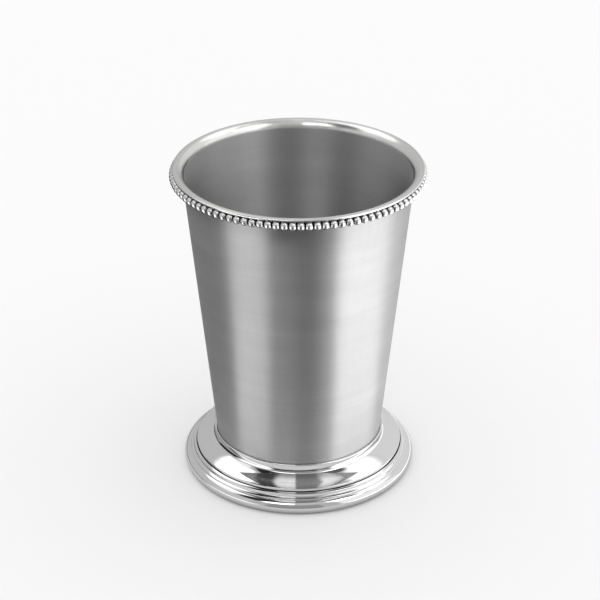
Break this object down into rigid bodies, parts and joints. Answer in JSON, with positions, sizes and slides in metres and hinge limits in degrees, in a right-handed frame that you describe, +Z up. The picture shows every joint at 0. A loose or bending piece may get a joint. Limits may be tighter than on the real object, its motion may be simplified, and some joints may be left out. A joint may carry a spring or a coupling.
{
  "type": "julep cup",
  "caption": "Julep cup: a tapered satin steel tumbler with a flared lip, a beaded rim and a polished hollow foot with steps and a rolled edge.",
  "frame": {"origin": "centre of the flat ring that the foot stands on, at table height", "axes": "+Z up along the cup's axis of symmetry"},
  "size_m": [0.086, 0.086, 0.112],
  "materials": {
    "body_steel": "satin outside, with fine lines round the wall, and polished on the lip",
    "bead_steel": "polished beads with darkened gaps",
    "foot_steel": "mirror polish",
    "solder": "smooth silver solder"
  },
  "bodies": {
    "root": {"cup_body": "body_steel", "beaded_rim": "bead_steel", "rim_solder": "solder", "foot": "foot_steel", "foot_solder": "solder"}
  },
  "joints": []
}
